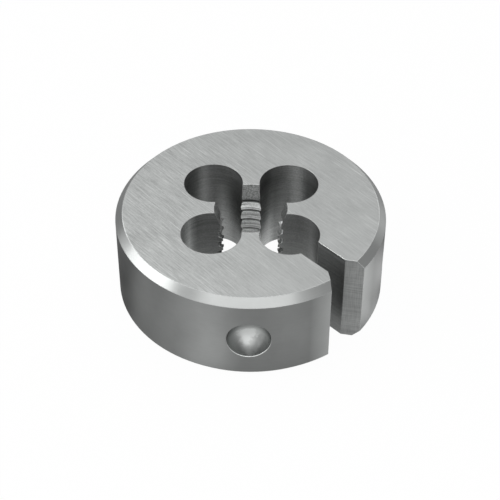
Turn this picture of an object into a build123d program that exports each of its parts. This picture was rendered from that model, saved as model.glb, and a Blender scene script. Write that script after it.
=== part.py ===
from build123d import *
from math import radians, tan
import os

os.makedirs("parts", exist_ok=True)

# Round split threading die, in millimetres. The origin is the middle of the bottom face, +Z runs
# up the bore to the marked face, and the four cutting lands lie on the X and Y axes.

# Blank
body_d = 25.4
body_t = 9.525
edge_radial = 0.65
edge_axial = 0.74

# Thread, 22 to the inch, 55 degree flanks with flats at crest and root
minor_d = 5.54
major_d = 6.35
pitch = 25.4 / 22
flank_angle = 27.5
crest_flat = 0.26
crest_z = 7.12
crest_land = 90

# Mouth of the bore at the marked face: a cone, then a plain relief down to the thread
top_lead_d = 6.9
top_lead_depth = 1.33
relief_d = 6.04
relief_depth = 2.1

# Lead-in cone at the back face
bottom_lead_d = 6.5
bottom_lead_angle = 25

# Chip holes
chip_hole_d = 5.62
chip_circle_d = 10.2
chip_first = 45
chip_count = 4

# Adjusting slot and the V that spreads it
slot_at = -45
slot_w = 2.25
vee_mouth_w = 4.32
vee_angle = 70

# Seats for the holder's clamping screws, either side of the slot
seat_spread = 45
seat_d = 4.06
seat_depth = 1.95
seat_round = 0.08

# What follows from them
body_r = body_d / 2
minor_r = minor_d / 2
major_r = major_d / 2
relief_r = relief_d / 2
flank_slope = tan(radians(flank_angle))
root_half = (pitch - crest_flat) / 2 - (major_r - minor_r) * flank_slope
bottom_end = (bottom_lead_d / 2 - minor_r) / tan(radians(bottom_lead_angle))
relief_end = body_t - relief_depth
top_end = relief_end - (relief_r - minor_r) * flank_slope
land_step = 360 / chip_count
over = 1.0

# Turned profiles are drawn in the upright plane through the first chip hole, so that no seam
# falls on a cutting land.
turning = Plane.XZ.rotated((0, 0, chip_first))


def groove_half(radius):
    """Half height of the thread groove where its straight flanks cross this radius."""
    return root_half + (major_r - radius) * flank_slope


# The thread's groove as one land meets it: a helix that starts and ends in the chip holes, with
# its middle at angle 0 and height 0
with BuildPart() as groove:
    sweep_angle = 0.8 * land_step
    rise = pitch * sweep_angle / 360
    start = Plane.XZ.rotated((0, 0, -sweep_angle / 2))
    inside = minor_r - 0.1
    with BuildLine(Plane.XY.rotated((0, 0, -sweep_angle / 2))) as path:
        Helix(pitch=pitch, height=rise, radius=minor_r, center=(0, 0, -rise / 2))
    with BuildSketch(Plane(origin=(0, 0, -rise / 2), x_dir=start.x_dir, z_dir=start.z_dir)):
        with BuildLine():
            Polyline(
                (inside, groove_half(inside)),
                (major_r, groove_half(major_r)),
                (major_r, -groove_half(major_r)),
                (inside, -groove_half(inside)),
                close=True,
            )
        make_face()
    sweep(path=path.line, is_frenet=True)


with BuildPart() as die:
    with BuildSketch(turning):
        with BuildLine():
            Polyline(
                (0, 0),
                (body_r - edge_radial, 0),
                (body_r, edge_axial),
                (body_r, body_t - edge_axial),
                (body_r - edge_radial, body_t),
                (0, body_t),
                close=True,
            )
        make_face()
    revolve(axis=Axis.Z)

    # Bore, with its lead-in cones and the relief above the thread
    with BuildSketch(turning):
        with BuildLine():
            Polyline(
                (0, 0),
                (bottom_lead_d / 2, 0),
                (minor_r, bottom_end),
                (minor_r, top_end),
                (relief_r, relief_end),
                (relief_r, body_t - top_lead_depth),
                (top_lead_d / 2, body_t),
                (0, body_t),
                close=True,
            )
        make_face()
    revolve(axis=Axis.Z, mode=Mode.SUBTRACT)

    # Chip holes
    with PolarLocations(chip_circle_d / 2, chip_count, start_angle=chip_first):
        Hole(chip_hole_d / 2, depth=body_t + over)

    # Thread: one right-hand helix, cut land by land, each a part turn higher than the last
    turns = []
    for land in range(chip_count):
        turn = chip_first + land_step * (land + 0.5)
        height = crest_z - pitch / 2 + pitch * (turn - crest_land) / 360
        height -= pitch * int((height - bottom_end + pitch / 4) / pitch)
        while height < relief_end + pitch / 3:
            turns.append(Location((0, 0, height), (0, 0, turn)))
            height += pitch
    with Locations(*turns):
        add(groove.part, mode=Mode.SUBTRACT)

    # Slot from one chip hole out through the rim
    with BuildSketch(Plane.XY.rotated((0, 0, slot_at))):
        with Locations(((chip_circle_d / 2 + body_r + over) / 2, 0)):
            Rectangle(body_r + over - chip_circle_d / 2, slot_w)
    extrude(amount=body_t, mode=Mode.SUBTRACT)

    # V that opens the slot at the rim
    with BuildSketch(Plane.XY.rotated((0, 0, slot_at))):
        mouth = (body_r**2 - (vee_mouth_w / 2) ** 2) ** 0.5
        rate = tan(radians(vee_angle / 2))
        with BuildLine():
            Polyline(
                (mouth - vee_mouth_w / 2 / rate, 0),
                (mouth + over, vee_mouth_w / 2 + over * rate),
                (mouth + over, -vee_mouth_w / 2 - over * rate),
                close=True,
            )
        make_face()
    extrude(amount=body_t, mode=Mode.SUBTRACT)

    # Screw seats at half height, either side of the slot, with their rims rounded
    ball_r = ((seat_d / 2) ** 2 + seat_depth**2) / (2 * seat_depth)
    with Locations(Plane.XY.offset(body_t / 2)):
        with PolarLocations(
            body_r + ball_r - seat_depth,
            2,
            start_angle=slot_at - seat_spread,
            angular_range=2 * seat_spread,
            endpoint=True,
        ):
            Sphere(ball_r, mode=Mode.SUBTRACT)
    fillet(die.faces().filter_by(GeomType.SPHERE).edges(), seat_round)

die.part.label = "die_body"
export_step(die.part, "parts/die_body.step")
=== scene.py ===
from collections import namedtuple
from math import cos, pi, radians, sin, sqrt

import bpy
from mathutils import Matrix, Vector


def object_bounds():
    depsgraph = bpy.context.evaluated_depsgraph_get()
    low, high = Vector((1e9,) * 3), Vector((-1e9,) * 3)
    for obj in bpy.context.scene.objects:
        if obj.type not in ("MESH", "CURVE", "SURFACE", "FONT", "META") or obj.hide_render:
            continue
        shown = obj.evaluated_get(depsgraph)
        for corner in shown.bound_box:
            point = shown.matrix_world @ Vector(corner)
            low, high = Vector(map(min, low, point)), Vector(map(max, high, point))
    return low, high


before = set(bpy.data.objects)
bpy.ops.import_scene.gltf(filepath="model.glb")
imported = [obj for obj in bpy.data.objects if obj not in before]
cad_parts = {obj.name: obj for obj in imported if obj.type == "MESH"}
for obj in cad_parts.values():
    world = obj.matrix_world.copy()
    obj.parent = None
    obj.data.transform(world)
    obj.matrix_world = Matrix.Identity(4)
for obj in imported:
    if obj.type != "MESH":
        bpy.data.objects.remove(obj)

cad_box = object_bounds()

MM = 0.001

# Sizes of the die in millimetres: the outer ones from the frame, the rest as its source has them
BODY_R = cad_box[1][0] / MM
BODY_T = cad_box[1][2] / MM
MID_Z = BODY_T / 2
EDGE_RADIAL = 0.65
EDGE_AXIAL = 0.74
PITCH = 25.4 / 22
CREST_Z = 7.12
RELIEF_R = 3.02
CONE_FOOT = BODY_T - 1.33
CONE_SLOPE = (3.45 - RELIEF_R) / 1.33
BACK_CONE_R = 3.25
BACK_CONE_ANGLE = 25
CHIP_R = 2.81
CHIP_AT = 5.1
SLOT_HALF = 1.125
VEE_HALF = 2.16
SEAT_R = 2.03
SEAT_DEPTH = 1.95
SEAT_ROUND = 0.08

# Where parts of it begin or end, in millimetres: the slot and the V along the slot's line, the
# rounded edge of a seat, the foot of the relief's finish, the ledge over the thread, the dull start
# of the thread, which is also painted darker as shade, and the bore
SLOT_FROM = 7.2
VEE_FROM = 10.9
SEAT_EDGE_R = 2.036
RELIEF_FROM = 7.39
LEDGE_R = 3.1
LEDGE_FOOT = 7.2
DULL_TO_X = -2.4
DULL_R = 3.2
DULL_FOOT = 6.8
BORE_R = 3.3
BORE_TOP = 9.0

# How far off a surface a point may lie and still count as on it, in millimetres
SKIN = 0.05
MOUTH_SKIN = 0.03
SLOT_SKIN = 0.02

# How level a surface lies, which is 0 for a wall and 1 for a floor, and how squarely one faces out
WALL_BELOW = 0.3
FLAT_ABOVE = 0.97
LEDGE_LEVEL = (0.7, 0.95)
CONE_SLACK = 0.04
OUTWARD_ABOVE = 0.95

# Each finish: how rough it is, and how much its lines show in its tone, its gloss and its relief
Finish = namedtuple("Finish", "roughness in_tone in_gloss in_relief")
FINISHES = {
    "bore": Finish(0.32, 0.30, 0.10, 0.50),
    "cone": Finish(0.50, 0.20, 0.10, 0.30),
    "face": Finish(0.36, 0.37, 0.16, 0.80),
    "hole": Finish(0.47, 0.45, 0.10, 0.70),
    "seat": Finish(0.44, 0.06, 0.03, 0.10),
    "chamfer": Finish(0.30, 0.06, 0.03, 0.05),
    "rim": Finish(0.34, 0.06, 0.03, 0.08),
    "slot": Finish(0.42, 0.55, 0.10, 0.40),
    "vee": Finish(0.42, 0.55, 0.10, 0.50),
}
ROUGH_SEAT_EDGE = 0.3
ROUGH_DULL = 0.6
ROUGH_WORN = 0.2

# How much the patches show in the chip holes and the slot, in the bore, and in the cone's relief,
# and how much lighter the scratches on the faces are
PATCHY_HOLES = 0.3
PATCHY_BORE = 0.45
PATCHY_RELIEF = 1.5
SCRATCH_WEIGHT = 0.18

# Worn corners, which are also painted lighter as a highlight: how wide they are (mm), how the
# rounded and the plain normal agree where the wear begins and where it is full, how near a chip
# hole (mm) counts as by it, and how much of the wear and highlight shows in the bore and by the holes
CORNER_WIDE = 0.08
CORNER_TURN = (0.985, 0.90)
BY_HOLE = 0.15
BORE_WEAR_AND_HIGHLIGHT = 0.25
HOLE_WEAR_AND_HIGHLIGHT = 0.3

# How wide the lip round a face is that carries a painted highlight, in millimetres
LIP_WIDE = 0.08

# How light the steel is where one value does, from 0 to 1. The ledge, the seat's bright patch and
# the lip are painted highlights, the dull start of the thread is painted shade, the worn corners are
# wear and a painted highlight, and the rim is darker than the faces, partly for its finish and
# partly as painted shade
CONE_SHADE = 0.32
LEDGE_SHADE = 0.68
DULL_PAINTED_SHADE = 0.25
SEAT_HIGHLIGHT_SHADE = 0.70
LIP_HIGHLIGHT_SHADE = 0.72
RIM_SHADE = 0.25
CHAMFER_SHADE = 0.465
WORN_HIGHLIGHT_SHADE = 0.88
RED_SHARE = 0.975
BLUE_SHARE = 0.988

# How light the steel is up one turn of the thread, as (share of the pitch above the middle of a
# crest, value) pairs, all painted light and shade: a painted highlight on the crests, strongest at
# their lower edge, a painted highlight on the flank above each, and painted shade in the groove up
# to the next
TOOTH_SHADES = (
    (0.0, 0.70), (0.07, 0.60), (0.11, 0.50), (0.19, 0.40), (0.23, 0.90), (0.34, 0.90), (0.41, 0.70),
    (0.45, 0.14), (0.52, 0.08), (0.70, 0.15), (0.885, 0.25), (0.89, 0.90), (0.95, 0.80), (1.0, 0.70),
)
# Half a crest as a share of the pitch, and where round the bore CREST_Z is measured: on the rear
# land, a quarter turn from +X
CREST_HALF = 0.115
CREST_TURN = 0.25

# How light the slot and the V are: from one height to another in mm, and the value at each; both
# are painted lighter towards the bottom as painted light
SLOT_SHADES = (4.4, 1.8, 0.24, 0.41)
VEE_SHADES = (5.5, 1.0, 0.30, 0.40)

# How light the walls of the front and rear chip holes are from left to right, and how much lighter
# the rear ones get at their feet, as (x in mm, value) pairs. These are painted light and shade: a
# painted reflection down the left of the front left hole, and painted light at the rear ones' feet
FRONT_HOLES = (
    (-5.75, 0.57), (-5.5, 0.38), (-5.0, 0.245), (-3.0, 0.235), (3.0, 0.285), (5.1, 0.27), (5.4, 0.225),
)
REAR_HOLES = (
    (-5.9, 0.21), (-5.1, 0.265), (-4.1, 0.195), (-2.3, 0.27), (-1.4, 0.185), (1.4, 0.205), (2.1, 0.265),
    (2.9, 0.235), (3.8, 0.285), (4.9, 0.28), (5.5, 0.175),
)
REAR_FEET = (
    (-3.6, 0.0), (-2.8, 0.42), (-1.7, 0.27), (-1.1, 0.36), (1.1, 0.72), (1.75, 0.75), (2.3, 0.28),
    (3.0, 0.23), (3.6, 0.0),
)
# How light the chamfer is to the right of RIGHT_FROM, as (y in mm, value) pairs, painted lighter
# and darker there as painted reflections
RIGHT_FROM = 9.0
RIGHT_CHAMFER = (
    (-6.6, 0.45), (-4.7, 0.38), (-3.2, 0.45), (-1.8, 0.55), (0.0, 0.61), (2.0, 0.52), (4.2, 0.58),
    (6.6, 0.465),
)
# These four lists lie between -LISTS_REACH and LISTS_REACH
LISTS_REACH = 7.0

# The grinding lines on the faces run at this angle from +X
GRAIN = radians(-48)

# How slowly the noise changes along each kind of line, which draws it out, where the scratches'
# noise is cut, and how fast the patches' noise changes upwards
GROUND_SLOW = 0.045
TURNED_SLOW = 0.03
FILED_SLOW = 0.06
GRIT_SLOW = 0.4
SCRATCH_SLOW = 0.035
SCRATCH_CUT = 3.0
PATCH_FAST = 1.7

# Soft pools of light on the floor, as the steel mirrors it: x, y and reach in mm, and how much
# lighter the floor is there, or darker if below 0
POOLS = (
    (-11, -21, 16, 0.88),
    (-5.4, -14.3, 5, 0.60),
    (9, -20, 16, 0.50),
    (17, -2, 9, 1.20),
    (17.5, 1.5, 6, 0.60),
    (12.6, -4.8, 2.5, 0.60),
    (13, -0.6, 2.8, -0.80),
    (-18, -6.5, 6, 0.45),
    (-17, -1, 8, -0.42),
    (-12.6, -4, 3, -0.20),
    (-15, 5, 8, -0.42),
    (0, 24, 26, -0.40),
    (0, 0, 9, 1.00),
)
# How light the floor is in the steel away from the pools, and at the least
FLOOR_LIGHT = 0.42
LEAST_LIGHT = 0.03
# Half the floor's width, and how far it lies below the die, in metres
FLOOR_HALF = 0.9
FLOOR_GAP = 0.02 * MM

# The studio is a pale room with dark cards that stand low around the die, given as azimuth, half
# width, top, softness (all in degrees) and how light the card is
ROOM_LIGHT = 0.80
CARDS = (
    (96, 50, 26, 12, 0.36),
    (133, 12, 30, 8, 0.1),
    (352, 34, 37, 8, 0.32),
)

# Soft lamps LAMP_AWAY metres out: azimuth, elevation, width and height as the die sees them
# (degrees), and brightness
LAMPS = {
    "key_left": (184, 24, 44, 34, 2.15),
    "edge_left": (156, 9, 12, 12, 0.5),
    "fill_front": (268, 42, 74, 30, 0.9),
    "top_rear": (90, 55, 70, 40, 0.4),
    "strip_right": (48, 12, 22, 24, 0.36),
}
LAMP_AWAY = 0.3


class Graph:
    """A node tree, with short calls for the nodes that this scene uses. The functions below call
    it g."""

    def __init__(self, tree):
        self.tree = tree
        tree.nodes.clear()

    def node(self, kind, inputs=(), **settings):
        made = self.tree.nodes.new(kind)
        for name, value in settings.items():
            setattr(made, name, value)
        for name, value in dict(inputs).items():
            self.put(made.inputs[name], value)
        return made

    def put(self, socket, value):
        if isinstance(value, bpy.types.NodeSocket):
            self.tree.links.new(value, socket)
        else:
            socket.default_value = value

    def math(self, operation, *values):
        made = self.node("ShaderNodeMath", operation=operation)
        for socket, value in zip(made.inputs, values):
            self.put(socket, value)
        return made.outputs[0]

    def chain(self, operation, first, *others):
        for other in others:
            first = self.math(operation, first, other)
        return first

    def plus(self, *values):
        return self.chain("ADD", *values)

    def minus(self, first, second):
        return self.math("SUBTRACT", first, second)

    def times(self, *values):
        """The product of values, which for masks is where all of them hold."""
        return self.chain("MULTIPLY", *values)

    def most(self, *values):
        """The greatest of values, which for masks is where any of them holds."""
        return self.chain("MAXIMUM", *values)

    def absolute(self, value):
        return self.math("ABSOLUTE", value)

    def above(self, value, limit):
        return self.math("GREATER_THAN", value, limit)

    def below(self, value, limit):
        return self.math("LESS_THAN", value, limit)

    def between(self, value, low, high):
        return self.times(self.above(value, low), self.below(value, high))

    def close(self, value, target, within):
        return self.below(self.absolute(self.minus(value, target)), within)

    def vector(self, operation, *values):
        made = self.node("ShaderNodeVectorMath", operation=operation)
        for socket, value in zip(made.inputs, values):
            self.put(socket, value)
        return made.outputs["Value" if operation in ("DOT_PRODUCT", "LENGTH", "DISTANCE") else "Vector"]

    def scale(self, vector, factor):
        made = self.node("ShaderNodeVectorMath", {"Scale": factor}, operation="SCALE")
        self.put(made.inputs[0], vector)
        return made.outputs["Vector"]

    def split(self, vector):
        return tuple(self.node("ShaderNodeSeparateXYZ", {"Vector": vector}).outputs)

    def join(self, x, y, z):
        return self.node("ShaderNodeCombineXYZ", {"X": x, "Y": y, "Z": z}).outputs[0]

    def blend(self, factor, first, second):
        """first where factor is 0, second where it is 1."""
        made = self.node("ShaderNodeMix", {"Factor": factor, "A": first, "B": second}, data_type="FLOAT")
        return made.outputs[0]

    def blend_vector(self, factor, first, second):
        """The same for vectors, which the node takes in its fifth and sixth sockets."""
        made = self.node("ShaderNodeMix", {"Factor": factor}, data_type="VECTOR")
        self.put(made.inputs[4], first)
        self.put(made.inputs[5], second)
        return made.outputs[1]

    def spread(self, value, low, high, to_low=0.0, to_high=1.0):
        """value taken from the span low to high, clamped, to the span to_low to to_high."""
        made = self.node(
            "ShaderNodeMapRange",
            {"Value": value, "From Min": low, "From Max": high, "To Min": to_low, "To Max": to_high},
        )
        return made.outputs[0]

    def profile(self, value, stops):
        """value from 0 to 1 looked up in (value, result) pairs, with straight runs between."""
        made = self.node("ShaderNodeValToRGB", {"Fac": value})
        ramp = made.color_ramp
        while len(ramp.elements) < len(stops):
            ramp.elements.new(0.5)
        for element, (position, result) in zip(ramp.elements, stops):
            element.position = position
            element.color = (result, result, result, 1)
        return self.node("ShaderNodeRGBToBW", {"Color": made.outputs[0]}).outputs[0]

    def listed(self, value, pairs):
        """value in millimetres looked up in one of the (mm, value) lists above."""
        stops = [((at + LISTS_REACH) / (2 * LISTS_REACH), result) for at, result in pairs]
        return self.profile(self.spread(value, -LISTS_REACH, LISTS_REACH), stops)

    def noise(self, vector, scale, detail, roughness):
        made = self.node(
            "ShaderNodeTexNoise",
            {"Vector": vector, "Scale": scale, "Detail": detail, "Roughness": roughness},
        )
        return made.outputs[0]

    def about(self, noise, weight):
        """Noise moved from about 0.5 to about 0, times weight."""
        return self.times(self.minus(noise, 0.5), weight)

    def surface(self, output, plain, lit, share):
        """The tree's output: the shader plain, with the share that lit_rays gives from lit."""
        both = self.node("ShaderNodeMixShader", {"Fac": share})
        self.put(both.inputs[1], plain.outputs[0])
        self.put(both.inputs[2], lit.outputs[0])
        self.node(output, {"Surface": both.outputs[0]})

    def lit_rays(self, seen, mirrored):
        """How white a ray finds the background: seen directly or through glass, or mirrored."""
        path = self.node("ShaderNodeLightPath")
        direct = self.most(path.outputs["Is Camera Ray"], path.outputs["Is Transmission Ray"])
        return self.most(self.times(direct, seen), self.times(path.outputs["Is Glossy Ray"], mirrored))


class DiePoint:
    """Where a point of the die lies, in millimetres, and which way its surface faces. The functions
    below call it p."""

    def __init__(self, g):
        self.place = g.scale(g.node("ShaderNodeTexCoord").outputs["Object"], 1 / MM)
        self.x, self.y, self.z = g.split(self.place)
        self.radius = g.vector("LENGTH", g.join(self.x, self.y, 0.0))
        self.lift = g.minus(self.z, MID_Z)
        self.from_middle = g.absolute(self.lift)

        # Along the slot and to its side
        self.along = g.times(g.minus(self.x, self.y), 1 / sqrt(2))
        self.across = g.times(g.plus(self.x, self.y), 1 / sqrt(2))
        self.beside = g.absolute(self.across)

        # From the axis of the nearest chip hole
        far = g.most(g.absolute(self.along), self.beside)
        near = g.math("MINIMUM", g.absolute(self.along), self.beside)
        self.from_hole = g.vector("LENGTH", g.join(g.minus(far, CHIP_AT), near, 0.0))

        # From the axis of the nearest screw seat, which lies along +X or -Y
        self.out = g.most(g.times(self.y, -1.0), self.x)
        self.sideways = g.blend(g.above(self.x, BODY_R - SEAT_DEPTH - SKIN), self.x, self.y)
        self.from_seat = g.vector("LENGTH", g.join(self.sideways, self.lift, 0.0))

        geometry = g.node("ShaderNodeNewGeometry")
        self.normal = geometry.outputs["Normal"]
        self.flat_normal = geometry.outputs["True Normal"]
        nx, ny, self.nz = g.split(self.flat_normal)
        self.level = g.absolute(self.nz)
        self.outward = g.math("DIVIDE", g.plus(g.times(self.x, nx), g.times(self.y, ny)), self.radius)


def finish_masks(g, p):
    """Where each finish but the bore's lies, in the order in which they are laid over it."""
    wall = g.below(p.level, WALL_BELOW)
    face = g.times(g.above(p.level, FLAT_ABOVE), g.above(p.from_middle, MID_Z - SKIN))
    hole = g.times(g.close(p.from_hole, CHIP_R, SKIN), wall)
    chamfer = g.times(
        g.above(p.radius, BODY_R - EDGE_RADIAL - SKIN),
        g.above(p.from_middle, MID_Z - EDGE_AXIAL - SKIN),
        g.between(p.level, WALL_BELOW, FLAT_ABOVE),
    )
    rim = g.times(g.above(p.radius, BODY_R - SKIN), wall, g.above(p.outward, OUTWARD_ABOVE))
    off_rim = g.minus(1.0, rim)
    seat = g.times(
        g.below(p.from_seat, SEAT_R + 2 * SEAT_ROUND),
        g.above(p.out, BODY_R - SEAT_DEPTH - SKIN),
        off_rim,
    )
    slot = g.times(g.above(p.along, SLOT_FROM), g.below(p.beside, SLOT_HALF + SLOT_SKIN), wall, off_rim)
    in_vee = g.between(p.beside, SLOT_HALF + SLOT_SKIN, VEE_HALF + SKIN)
    vee = g.times(g.above(p.along, VEE_FROM), in_vee, wall, off_rim)

    # The cone and the relief at the marked face, and the lead-in cone at the back face
    above_relief = g.most(g.minus(p.z, CONE_FOOT), 0.0)
    mouth_r = g.plus(RELIEF_R, g.times(above_relief, CONE_SLOPE))
    mouth = g.times(g.close(p.radius, mouth_r, MOUTH_SKIN), g.above(p.z, RELIEF_FROM))
    back_slope = g.close(p.level, sin(radians(BACK_CONE_ANGLE)), CONE_SLACK)
    back_cone = g.times(g.below(p.radius, BACK_CONE_R + SKIN), back_slope)
    return {
        "cone": g.most(mouth, back_cone),
        "face": face,
        "hole": hole,
        "seat": seat,
        "chamfer": chamfer,
        "rim": rim,
        "slot": slot,
        "vee": vee,
    }


def by_finish(g, where, values):
    """The value of each finish where it lies."""
    result = values["bore"]
    for name, mask in where.items():
        result = g.blend(mask, result, values[name])
    return result


def of_each(quality, **own):
    """One quality of each finish, as FINISHES has it but for the ones given here."""
    return {name: getattr(finish, quality) for name, finish in FINISHES.items()} | own


def thread_tone(g, p, dull_and_shaded):
    """The thread's bands along the helix in painted highlight and shade, darker deeper down, a painted
    highlight on its ledge, and its dull start on the left, painted darker as shade.
    """
    turned_by = g.math("DIVIDE", g.math("ARCTAN2", p.y, p.x), 2 * pi)
    climb = g.minus(g.math("DIVIDE", g.minus(p.z, CREST_Z), PITCH), turned_by)
    tooth = g.math("FRACT", g.plus(climb, CREST_TURN))
    crest = g.most(g.above(tooth, 1 - CREST_HALF), g.below(tooth, CREST_HALF))
    # Painted shade: the crests darker deeper in the bore
    shaded_deeper = g.spread(p.z, 7.0, 4.8, 1.0, 0.42)
    tone = g.times(g.profile(tooth, TOOTH_SHADES), g.blend(crest, 1.0, shaded_deeper))
    on_ledge = g.between(p.nz, *LEDGE_LEVEL)
    # The ledge gets a painted highlight
    ledge = g.times(g.below(p.radius, LEDGE_R), g.above(p.z, LEDGE_FOOT), on_ledge)
    return g.blend(dull_and_shaded, g.blend(ledge, tone, LEDGE_SHADE), DULL_PAINTED_SHADE)


def seat_tone(g, p, seat_edge):
    """A screw's seat: a painted highlight in a ragged patch below its middle that narrows downwards,
    painted shade towards the rim, over the upper half and at the lower right, and a painted highlight
    along the lower edge.
    """
    # Painted shade: darker towards the rim, over the upper half and at the lower right
    bowl = g.spread(p.from_seat, 1.4, 2.0, 0.58, 0.40)
    darker_up = g.spread(p.lift, -0.5, 0.0, 1.0, 0.6)
    low_right = g.times(g.spread(p.sideways, 0.1, 1.0), g.spread(p.lift, -0.4, -1.1))
    tone = g.times(bowl, darker_up, g.blend(low_right, 1.0, 0.74))

    ragged = g.about(g.noise(p.place, scale=1.9, detail=3.0, roughness=0.7), weight=1.5)
    half_wide = g.spread(p.lift, -1.75, -0.7, 0.18, 0.82)
    past_side = g.plus(g.minus(g.absolute(g.plus(p.sideways, 0.2)), half_wide), ragged)
    height = g.plus(p.lift, g.times(ragged, 0.4))
    below_top = g.spread(height, -0.27, -0.47)
    above_foot = g.spread(height, -1.77, -1.5)
    # The ragged patch is a painted highlight
    seat_highlight = g.times(g.spread(past_side, 0.2, -0.12), below_top, above_foot)
    tone = g.blend(seat_highlight, tone, SEAT_HIGHLIGHT_SHADE)
    # A painted highlight along the lower edge
    lower_edge_highlight = g.spread(p.lift, -0.5, -1.5, 0.3, 0.85)
    return g.blend(seat_edge, tone, lower_edge_highlight)


def hole_tone(g, p):
    """The chip holes, with painted light towards their feet, the rear ones most beside the bore, and
    painted reflections across their walls.
    """
    foot = g.times(g.spread(p.y, 1.0, 3.0), g.spread(p.z, 8.0, 3.0))
    rear = g.plus(g.times(foot, g.listed(p.x, REAR_FEET)), g.listed(p.x, REAR_HOLES))
    lighter_down = g.spread(p.z, 8.2, 5.0, -0.03, 0.07)
    front = g.plus(g.listed(p.x, FRONT_HOLES), lighter_down)
    return g.blend(g.above(p.y, 0.0), front, rear)


def chamfer_tone(g, p):
    """The chamfers, of one tone but on the right, where painted light and shade stand for reflections.
    """
    return g.blend(g.above(p.x, RIGHT_FROM), CHAMFER_SHADE, g.listed(p.y, RIGHT_CHAMFER))


def face_tone(g, p):
    """The faces, painted a little darker to the right as shade, with a painted highlight along the lip
    of the edge on the left, and a little on the right.
    """
    left = g.times(g.spread(p.x, -8.8, -10.2), g.spread(p.y, 0.5, -3.0))
    right = g.times(g.spread(p.x, 11.3, 11.9, 0.0, 0.45), g.spread(p.y, -1.5, 0.5))
    # A painted highlight along the lip
    lip_highlight = g.times(g.most(left, right), g.above(p.radius, BODY_R - EDGE_RADIAL - LIP_WIDE))
    # Painted shade: the faces darker to the right
    darker_right = g.spread(p.x, -11.0, 11.0, 0.447, 0.413)
    return g.blend(lip_highlight, darker_right, LIP_HIGHLIGHT_SHADE)


def rim_tone(g, p):
    """The rim, with a painted reflection that makes it lighter where the V breaks through it."""
    # A painted reflection beside the V
    by_vee = g.times(g.above(p.along, SLOT_FROM), g.spread(p.beside, 4.2, 2.2))
    left_to_right = g.spread(p.across, -2.0, 2.0, 0.51, 0.45)
    return g.blend(by_vee, RIM_SHADE, left_to_right)


def grain(g, p, where):
    """The lines that each finish leaves, about 0, and the deeper scratches on the faces."""
    with_grain = g.plus(g.times(p.x, cos(GRAIN)), g.times(p.y, sin(GRAIN)))
    over_grain = g.plus(g.times(p.x, -sin(GRAIN)), g.times(p.y, cos(GRAIN)))
    straight = g.join(g.times(with_grain, GROUND_SLOW), over_grain, 0.0)
    turned = g.join(g.times(p.x, TURNED_SLOW), g.times(p.y, TURNED_SLOW), p.z)
    both = g.blend_vector(where["face"], turned, straight)
    gritty = g.join(g.times(with_grain, GRIT_SLOW), over_grain, p.z)
    filed = g.join(p.x, p.y, g.times(p.z, FILED_SLOW))
    scratched = g.join(g.times(with_grain, SCRATCH_SLOW), over_grain, SCRATCH_CUT)

    fine = g.noise(both, scale=9.0, detail=2.0, roughness=0.7)
    broad = g.noise(both, scale=4.0, detail=2.0, roughness=0.5)
    grit = g.noise(gritty, scale=14.0, detail=1.0, roughness=0.5)
    upright = g.noise(filed, scale=11.0, detail=2.0, roughness=0.6)
    scratches = g.noise(scratched, scale=8.0, detail=1.0, roughness=0.5)
    lines = g.plus(
        g.about(fine, weight=1.7),
        g.about(broad, weight=0.3),
        g.times(where["face"], g.about(grit, weight=0.6)),
        g.times(where["vee"], g.about(upright, weight=1.3)),
    )
    return lines, g.times(g.spread(scratches, 0.60, 0.72), where["face"])


def unevenness(g, p, where, lines, scratches, mottle, in_bore):
    """How much lighter or darker than its finish's tone a point is: lines, scratches and patches."""
    lines_left = g.spread(p.x, -9.0, 3.0, 0.76, FINISHES["face"].in_tone)
    weight = by_finish(g, where, of_each("in_tone", face=lines_left))
    tone = g.plus(1.0, g.times(lines, weight), g.times(scratches, SCRATCH_WEIGHT))
    cloud = g.noise(p.place, scale=0.35, detail=3.0, roughness=0.55)
    clouded = g.spread(cloud, 0.3, 0.7, 0.95, 1.05)
    holes = g.times(g.most(where["hole"], where["slot"]), PATCHY_HOLES)
    patchy = g.most(where["cone"], holes, g.times(in_bore, PATCHY_BORE))
    patches = g.spread(mottle, 0.32, 0.68, 0.45, 1.45)
    return g.times(tone, clouded, g.blend(patchy, 1.0, patches))


def corner_wear_and_highlight(g, p, rounded, in_bore):
    """Corners that handling has polished and that are painted lighter as a highlight, less so in the
    bore and beside the chip holes.
    """
    turn = g.vector("DOT_PRODUCT", rounded, p.normal)
    by_hole = g.close(p.from_hole, CHIP_R, BY_HOLE)
    worn_and_highlit = g.times(g.spread(turn, *CORNER_TURN), g.blend(in_bore, 1.0, BORE_WEAR_AND_HIGHLIGHT))
    return g.times(worn_and_highlit, g.blend(by_hole, 1.0, HOLE_WEAR_AND_HIGHLIGHT))


def across_grain(g, p, where):
    """The direction across the lines: straight on the faces, round the axis elsewhere."""
    around = g.vector("CROSS_PRODUCT", (0.0, 0.0, 1.0), p.flat_normal)
    with_lines = g.blend_vector(where["face"], around, (cos(GRAIN), sin(GRAIN), 0.0))
    return g.vector("NORMALIZE", g.vector("CROSS_PRODUCT", p.flat_normal, with_lines))


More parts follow.
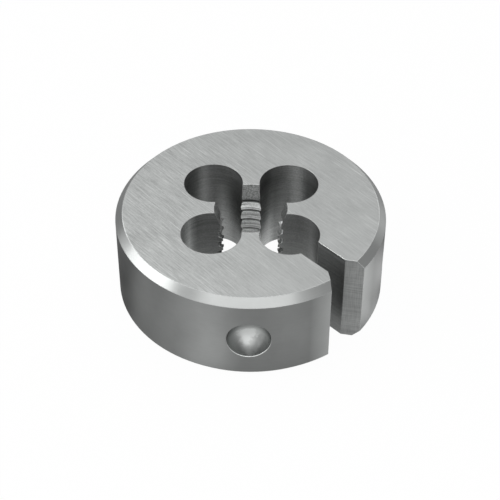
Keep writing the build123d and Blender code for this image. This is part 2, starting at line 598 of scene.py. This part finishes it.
def tool_steel():
    """Bare ground tool steel, with a finish of its own for each way the die is cut, and painted light
    and shade in its tones.
    """
    material = bpy.data.materials.new("ground_tool_steel")
    material.use_nodes = True
    g = Graph(material.node_tree)
    p = DiePoint(g)
    where = finish_masks(g, p)
    in_bore = g.times(g.below(p.radius, BORE_R), g.below(p.z, BORE_TOP))
    # The thread's start on the left: rougher, and painted darker as shade
    dull_and_shaded = g.times(g.below(p.x, DULL_TO_X), g.below(p.radius, DULL_R), g.above(p.z, DULL_FOOT))
    seat_edge = g.above(p.from_seat, SEAT_EDGE_R)
    lines, scratches = grain(g, p, where)
    patched = g.join(p.x, p.y, g.times(p.z, PATCH_FAST))
    mottle = g.noise(patched, scale=6.0, detail=3.0, roughness=0.65)
    rounded = g.node("ShaderNodeBevel", {"Radius": CORNER_WIDE * MM}, samples=6).outputs[0]
    worn_and_highlit = corner_wear_and_highlight(g, p, rounded, in_bore)

    shade = by_finish(g, where, {
        "bore": thread_tone(g, p, dull_and_shaded),
        "cone": CONE_SHADE,
        "face": face_tone(g, p),
        "hole": hole_tone(g, p),
        "seat": seat_tone(g, p, seat_edge),
        "chamfer": chamfer_tone(g, p),
        "rim": rim_tone(g, p),
        "slot": g.spread(p.z, *SLOT_SHADES),
        "vee": g.spread(p.z, *VEE_SHADES),
    })
    shade = g.times(shade, unevenness(g, p, where, lines, scratches, mottle, in_bore))
    # Worn corners, painted lighter as a highlight
    shade = g.blend(worn_and_highlit, shade, WORN_HIGHLIGHT_SHADE)
    colour = g.node("ShaderNodeCombineColor", {
        "Red": g.times(shade, RED_SHARE),
        "Green": shade,
        "Blue": g.times(shade, BLUE_SHARE),
    })

    rough = by_finish(g, where, of_each(
        "roughness",
        bore=g.blend(dull_and_shaded, FINISHES["bore"].roughness, ROUGH_DULL),
        seat=g.blend(seat_edge, FINISHES["seat"].roughness, ROUGH_SEAT_EDGE),
    ))
    rough = g.plus(rough, g.times(lines, by_finish(g, where, of_each("in_gloss"))))
    rough = g.blend(worn_and_highlit, rough, ROUGH_WORN)

    relief = g.times(lines, by_finish(g, where, of_each("in_relief")))
    relief = g.plus(relief, g.times(mottle, where["cone"], PATCHY_RELIEF))
    bump = g.node("ShaderNodeBump", {
        "Strength": 0.35, "Distance": 0.004 * MM, "Height": relief, "Normal": rounded,
    })
    steel = g.node("ShaderNodeBsdfPrincipled", {
        "Base Color": colour.outputs[0],
        "Metallic": 1.0,
        "Roughness": rough,
        "Anisotropic": 0.7,
        "Specular Tint": (0.7, 0.7, 0.7, 1),
        "Normal": bump.outputs[0],
        "Tangent": across_grain(g, p, where),
    })
    g.node("ShaderNodeOutputMaterial", {"Surface": steel.outputs[0]})
    return material


def white_paper():
    """The floor's paper: white to the camera but for the die's faint shadow, and with soft pools of
    light in what the steel mirrors."""
    material = bpy.data.materials.new("white_floor")
    material.use_nodes = True
    g = Graph(material.node_tree)
    spot = g.scale(g.node("ShaderNodeTexCoord").outputs["Object"], 1 / MM)
    glow = FLOOR_LIGHT
    for x, y, reach, lighter in POOLS:
        away = g.vector("DISTANCE", spot, (x, y, 0.0))
        span = {"Value": away, "From Min": reach, "From Max": 0.0, "To Min": 0.0, "To Max": lighter}
        pool = g.node("ShaderNodeMapRange", span, interpolation_type="SMOOTHSTEP")
        glow = g.plus(glow, pool.outputs[0])
    mirrored = g.node("ShaderNodeLightPath").outputs["Is Glossy Ray"]
    strength = g.blend(mirrored, 1.0, g.most(glow, LEAST_LIGHT))
    sheet = g.node("ShaderNodeBsdfDiffuse", {"Color": (0.9, 0.9, 0.9, 1)})
    white = g.node("ShaderNodeEmission", {"Color": (1, 1, 1, 1), "Strength": strength})
    g.surface("ShaderNodeOutputMaterial", sheet, white, g.lit_rays(seen=0.97, mirrored=0.85))
    return material


def toward(azimuth, elevation):
    """Unit vector from the die: azimuth counted from +X to +Y, elevation above the floor, in degrees."""
    a, e = radians(azimuth), radians(elevation)
    return Vector((cos(a) * cos(e), sin(a) * cos(e), sin(e)))


def studio():
    """The pale room with its dark cards, plain white to the camera."""
    world = bpy.data.worlds.new("studio")
    world.use_nodes = True
    g = Graph(world.node_tree)
    x, y, z = g.split(g.node("ShaderNodeTexCoord").outputs["Generated"])
    heading = g.vector("NORMALIZE", g.join(x, y, 0.0))
    room = ROOM_LIGHT
    for azimuth, half_wide, top, softness, light in CARDS:
        facing = g.vector("DOT_PRODUCT", heading, toward(azimuth, 0))
        within = g.spread(facing, cos(radians(half_wide + softness)), cos(radians(half_wide - softness)))
        under = g.spread(z, sin(radians(top + softness)), sin(radians(top - softness)))
        room = g.blend(g.times(within, under), room, light)
    tent = g.node("ShaderNodeBackground", {"Color": (1, 1, 1, 1), "Strength": room})
    white = g.node("ShaderNodeBackground", {"Color": (1, 1, 1, 1), "Strength": 1.0})
    g.surface("ShaderNodeOutputWorld", tent, white, g.lit_rays(seen=1.0, mirrored=0.1))
    return world


def softbox(name, azimuth, elevation, wide, high, brightness):
    """A soft lamp that spans wide by high degrees as the die sees it."""
    lamp = bpy.data.lights.new(name, "AREA")
    lamp.shape = "RECTANGLE"
    lamp.size = 2 * LAMP_AWAY * sin(radians(wide / 2))
    lamp.size_y = 2 * LAMP_AWAY * sin(radians(high / 2))
    lamp.energy = brightness * pi * lamp.size * lamp.size_y
    placed = bpy.data.objects.new(name, lamp)
    out = toward(azimuth, elevation)
    placed.rotation_mode = "QUATERNION"
    placed.rotation_quaternion = out.to_track_quat("Z", "Y")
    placed.location = Vector((0, 0, MID_Z * MM)) + out * LAMP_AWAY
    placed.visible_camera = False
    bpy.context.scene.collection.objects.link(placed)


def photo_camera():
    """The camera, solved from the outline of the disc in the photograph."""
    azimuth, elevation, roll = radians(0.6), radians(42.345), radians(0.215)
    target = Vector((-0.0416, -0.9294, 5.0352)) * MM
    distance = 139.26 * MM
    back = Vector((sin(azimuth) * cos(elevation), -cos(azimuth) * cos(elevation), sin(elevation)))
    level = Vector((cos(azimuth), sin(azimuth), 0))
    rise = back.cross(level)
    right = cos(roll) * level + sin(roll) * rise
    up = cos(roll) * rise - sin(roll) * level
    data = bpy.data.cameras.new("camera")
    data.lens = 105.28
    data.sensor_width = 36
    data.clip_start = 0.01
    data.clip_end = 5
    camera = bpy.data.objects.new("camera", data)
    turn = Matrix((right, up, back)).transposed().to_4x4()
    camera.matrix_world = Matrix.Translation(target + back * distance) @ turn
    return camera


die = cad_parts["die_body"]
die.data.materials.clear()
die.data.materials.append(tool_steel())

# A plain white sheet, a hair below the die
floor_mesh = bpy.data.meshes.new("floor")
corners = [(x * FLOOR_HALF, y * FLOOR_HALF, 0) for x, y in ((-1, -1), (1, -1), (1, 1), (-1, 1))]
floor_mesh.from_pydata(corners, [], [(0, 1, 2, 3)])
floor_mesh.materials.append(white_paper())
floor = bpy.data.objects.new("floor", floor_mesh)
floor.location.z = -FLOOR_GAP
bpy.context.scene.collection.objects.link(floor)

bpy.context.scene.world = studio()
for name, lamp in LAMPS.items():
    softbox(name, *lamp)

camera = photo_camera()
bpy.context.scene.collection.objects.link(camera)
bpy.context.scene.camera = camera

bpy.context.scene.view_settings.view_transform = "Standard"
